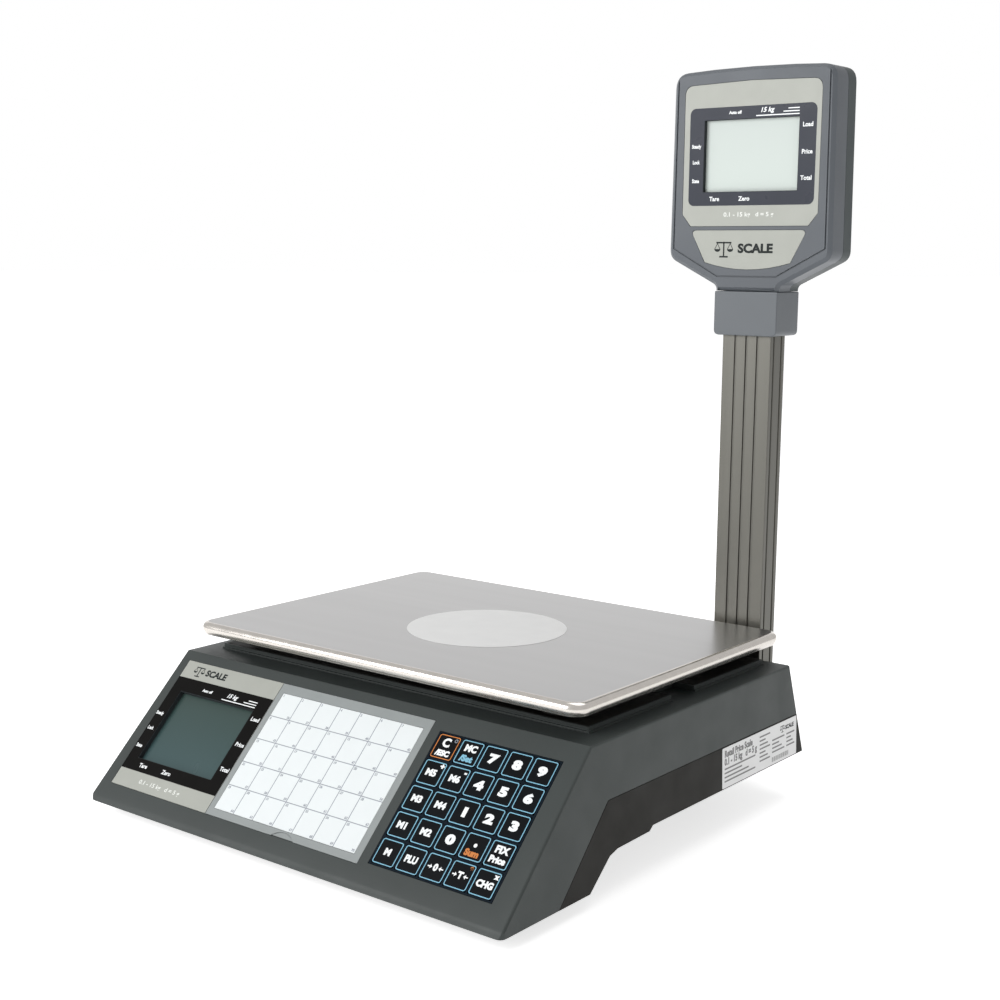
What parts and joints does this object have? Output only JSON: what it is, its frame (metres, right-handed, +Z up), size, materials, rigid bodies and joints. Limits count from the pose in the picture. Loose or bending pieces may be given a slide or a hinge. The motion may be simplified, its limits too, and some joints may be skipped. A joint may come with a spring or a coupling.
{
  "type": "retail price scale",
  "caption": "Counter price-computing scale with a sloped keypad panel, a lift-off stainless platter and a fixed rear pole carrying a second display head.",
  "frame": {"origin": "centre of the bounding box at counter level, under the foot pads", "axes": "+Z up, +Y from the operator's side to the rear, +X to the operator's right; the sloped keypad panel faces -Y"},
  "size_m": [0.3819, 0.38, 0.5232],
  "materials": {
    "housing": "satin moulded ABS, slate grey",
    "housing_dark": "fine-textured moulded ABS, dark grey",
    "head_plastic": "satin moulded ABS, lighter slate grey",
    "silver_film": "silver printed film with a black window",
    "grey_film": "grey printed film",
    "white_card": "white printed card under clear film",
    "keypad": "black printed membrane with pale blue key outlines",
    "lcd_dark": "unlit reflective display glass",
    "lcd_light": "unlit pale display glass",
    "black_plastic": "black moulded plastic",
    "steel": "satin stainless steel with a polished rim",
    "aluminium": "warm grey anodised extrusion",
    "rubber": "matt black rubber",
    "circuit_board": "green solder mask",
    "vial": "yellow-green bubble level"
  },
  "bodies": {
    "root": {"upper_housing": "housing", "lower_housing": "housing_dark", "battery_door": "housing_dark", "battery": "black_plastic", "main_board": "circuit_board", "load_cell": "aluminium", "operator_overlay": "silver_film", "operator_lcd": "lcd_dark", "plu_frame": "grey_film", "plu_card": "white_card", "keypad_frame": "keypad", "power_inlet": "black_plastic", "level_vial": "vial", "column": "aluminium", "column_bracket": "housing_dark", "column_cable": "rubber", "head_front_cover": "head_plastic", "head_rear_cover": "housing", "head_overlay": "silver_film", "head_lcd": "lcd_light", "head_badge": "silver_film", "head_collar": "head_plastic", "head_board": "circuit_board"},
    "platform": {"load_bracket": "steel", "platter_support": "housing_dark"},
    "platter": {"platter": "steel"},
    "power_rocker": {"power_rocker": "black_plastic"},
    "foot_pad_front_left": {"foot_pad_front_left": "rubber"},
    "foot_stud_front_left": {"foot_stud_front_left": "steel"},
    "foot_pad_front_right": {"foot_pad_front_right": "rubber"},
    "foot_stud_front_right": {"foot_stud_front_right": "steel"},
    "foot_pad_rear_left": {"foot_pad_rear_left": "rubber"},
    "foot_stud_rear_left": {"foot_stud_rear_left": "steel"},
    "foot_pad_rear_right": {"foot_pad_rear_right": "rubber"},
    "foot_stud_rear_right": {"foot_stud_rear_right": "steel"},
    "key_clear": {"key_clear": "keypad"},
    "key_memory_clear": {"key_memory_clear": "keypad"},
    "key_7": {"key_7": "keypad"},
    "key_8": {"key_8": "keypad"},
    "key_9": {"key_9": "keypad"},
    "key_m5": {"key_m5": "keypad"},
    "key_m6": {"key_m6": "keypad"},
    "key_4": {"key_4": "keypad"},
    "key_5": {"key_5": "keypad"},
    "key_6": {"key_6": "keypad"},
    "key_m3": {"key_m3": "keypad"},
    "key_m4": {"key_m4": "keypad"},
    "key_1": {"key_1": "keypad"},
    "key_2": {"key_2": "keypad"},
    "key_3": {"key_3": "keypad"},
    "key_m1": {"key_m1": "keypad"},
    "key_m2": {"key_m2": "keypad"},
    "key_0": {"key_0": "keypad"},
    "key_point": {"key_point": "keypad"},
    "key_fix_price": {"key_fix_price": "keypad"},
    "key_m": {"key_m": "keypad"},
    "key_plu": {"key_plu": "keypad"},
    "key_zero": {"key_zero": "keypad"},
    "key_tare": {"key_tare": "keypad"},
    "key_change": {"key_change": "keypad"}
  },
  "joints": [
    {"name": "platform_deflect", "type": "slide", "parent": "root", "child": "platform", "axis": [0, 0, 1], "range_m": [-0.00025, 0], "stiffness_N_per_m": 600000, "deforming": ["load_cell"]},
    {"name": "platter_lift", "type": "slide", "parent": "platform", "child": "platter", "axis": [0, 0, 1], "range_m": [0, 0.06]},
    {"name": "rocker_turn", "type": "hinge", "parent": "root", "child": "power_rocker", "pos_m": [-0.18631, 0.048, 0.0495], "axis": [0, 0, 1], "range_deg": [-18, 0]},
    {"name": "foot_height_front_left", "type": "slide", "parent": "root", "child": "foot_pad_front_left", "axis": [0, 0, 1], "range_m": [-0.008, 0]},
    {"name": "foot_turn_front_left", "type": "hinge", "parent": "foot_pad_front_left", "child": "foot_stud_front_left", "pos_m": [-0.1305, -0.135, 0.01], "axis": [0, 0, 1], "range_deg": [-2304.1, 0]},
    {"name": "foot_height_front_right", "type": "slide", "parent": "root", "child": "foot_pad_front_right", "axis": [0, 0, 1], "range_m": [-0.008, 0]},
    {"name": "foot_turn_front_right", "type": "hinge", "parent": "foot_pad_front_right", "child": "foot_stud_front_right", "pos_m": [0.1195, -0.135, 0.01], "axis": [0, 0, 1], "range_deg": [-2304.1, 0]},
    {"name": "foot_height_rear_left", "type": "slide", "parent": "root", "child": "foot_pad_rear_left", "axis": [0, 0, 1], "range_m": [-0.008, 0]},
    {"name": "foot_turn_rear_left", "type": "hinge", "parent": "foot_pad_rear_left", "child": "foot_stud_rear_left", "pos_m": [-0.1235, 0.11, 0.01], "axis": [0, 0, 1], "range_deg": [-2304.1, 0]},
    {"name": "foot_height_rear_right", "type": "slide", "parent": "root", "child": "foot_pad_rear_right", "axis": [0, 0, 1], "range_m": [-0.008, 0]},
    {"name": "foot_turn_rear_right", "type": "hinge", "parent": "foot_pad_rear_right", "child": "foot_stud_rear_right", "pos_m": [0.1125, 0.11, 0.01], "axis": [0, 0, 1], "range_deg": [-2304.1, 0]},
    {"name": "press_clear", "type": "slide", "parent": "root", "child": "key_clear", "axis": [0, 0.7043, -0.7099], "range_m": [0, 0.0004], "stiffness_N_per_m": 4000},
    {"name": "press_memory_clear", "type": "slide", "parent": "root", "child": "key_memory_clear", "axis": [0, 0.7043, -0.7099], "range_m": [0, 0.0004], "stiffness_N_per_m": 4000},
    {"name": "press_7", "type": "slide", "parent": "root", "child": "key_7", "axis": [0, 0.7043, -0.7099], "range_m": [0, 0.0004], "stiffness_N_per_m": 4000},
    {"name": "press_8", "type": "slide", "parent": "root", "child": "key_8", "axis": [0, 0.7043, -0.7099], "range_m": [0, 0.0004], "stiffness_N_per_m": 4000},
    {"name": "press_9", "type": "slide", "parent": "root", "child": "key_9", "axis": [0, 0.7043, -0.7099], "range_m": [0, 0.0004], "stiffness_N_per_m": 4000},
    {"name": "press_m5", "type": "slide", "parent": "root", "child": "key_m5", "axis": [0, 0.7043, -0.7099], "range_m": [0, 0.0004], "stiffness_N_per_m": 4000},
    {"name": "press_m6", "type": "slide", "parent": "root", "child": "key_m6", "axis": [0, 0.7043, -0.7099], "range_m": [0, 0.0004], "stiffness_N_per_m": 4000},
    {"name": "press_4", "type": "slide", "parent": "root", "child": "key_4", "axis": [0, 0.7043, -0.7099], "range_m": [0, 0.0004], "stiffness_N_per_m": 4000},
    {"name": "press_5", "type": "slide", "parent": "root", "child": "key_5", "axis": [0, 0.7043, -0.7099], "range_m": [0, 0.0004], "stiffness_N_per_m": 4000},
    {"name": "press_6", "type": "slide", "parent": "root", "child": "key_6", "axis": [0, 0.7043, -0.7099], "range_m": [0, 0.0004], "stiffness_N_per_m": 4000},
    {"name": "press_m3", "type": "slide", "parent": "root", "child": "key_m3", "axis": [0, 0.7043, -0.7099], "range_m": [0, 0.0004], "stiffness_N_per_m": 4000},
    {"name": "press_m4", "type": "slide", "parent": "root", "child": "key_m4", "axis": [0, 0.7043, -0.7099], "range_m": [0, 0.0004], "stiffness_N_per_m": 4000},
    {"name": "press_1", "type": "slide", "parent": "root", "child": "key_1", "axis": [0, 0.7043, -0.7099], "range_m": [0, 0.0004], "stiffness_N_per_m": 4000},
    {"name": "press_2", "type": "slide", "parent": "root", "child": "key_2", "axis": [0, 0.7043, -0.7099], "range_m": [0, 0.0004], "stiffness_N_per_m": 4000},
    {"name": "press_3", "type": "slide", "parent": "root", "child": "key_3", "axis": [0, 0.7043, -0.7099], "range_m": [0, 0.0004], "stiffness_N_per_m": 4000},
    {"name": "press_m1", "type": "slide", "parent": "root", "child": "key_m1", "axis": [0, 0.7043, -0.7099], "range_m": [0, 0.0004], "stiffness_N_per_m": 4000},
    {"name": "press_m2", "type": "slide", "parent": "root", "child": "key_m2", "axis": [0, 0.7043, -0.7099], "range_m": [0, 0.0004], "stiffness_N_per_m": 4000},
    {"name": "press_0", "type": "slide", "parent": "root", "child": "key_0", "axis": [0, 0.7043, -0.7099], "range_m": [0, 0.0004], "stiffness_N_per_m": 4000},
    {"name": "press_point", "type": "slide", "parent": "root", "child": "key_point", "axis": [0, 0.7043, -0.7099], "range_m": [0, 0.0004], "stiffness_N_per_m": 4000},
    {"name": "press_fix_price", "type": "slide", "parent": "root", "child": "key_fix_price", "axis": [0, 0.7043, -0.7099], "range_m": [0, 0.0004], "stiffness_N_per_m": 4000},
    {"name": "press_m", "type": "slide", "parent": "root", "child": "key_m", "axis": [0, 0.7043, -0.7099], "range_m": [0, 0.0004], "stiffness_N_per_m": 4000},
    {"name": "press_plu", "type": "slide", "parent": "root", "child": "key_plu", "axis": [0, 0.7043, -0.7099], "range_m": [0, 0.0004], "stiffness_N_per_m": 4000},
    {"name": "press_zero", "type": "slide", "parent": "root", "child": "key_zero", "axis": [0, 0.7043, -0.7099], "range_m": [0, 0.0004], "stiffness_N_per_m": 4000},
    {"name": "press_tare", "type": "slide", "parent": "root", "child": "key_tare", "axis": [0, 0.7043, -0.7099], "range_m": [0, 0.0004], "stiffness_N_per_m": 4000},
    {"name": "press_change", "type": "slide", "parent": "root", "child": "key_change", "axis": [0, 0.7043, -0.7099], "range_m": [0, 0.0004], "stiffness_N_per_m": 4000}
  ],
  "couplings": [
    {"joint": "foot_turn_front_left", "follows": "foot_height_front_left", "rad_per_m": 5026.5},
    {"joint": "foot_turn_front_right", "follows": "foot_height_front_right", "rad_per_m": 5026.5},
    {"joint": "foot_turn_rear_left", "follows": "foot_height_rear_left", "rad_per_m": 5026.5},
    {"joint": "foot_turn_rear_right", "follows": "foot_height_rear_right", "rad_per_m": 5026.5}
  ]
}
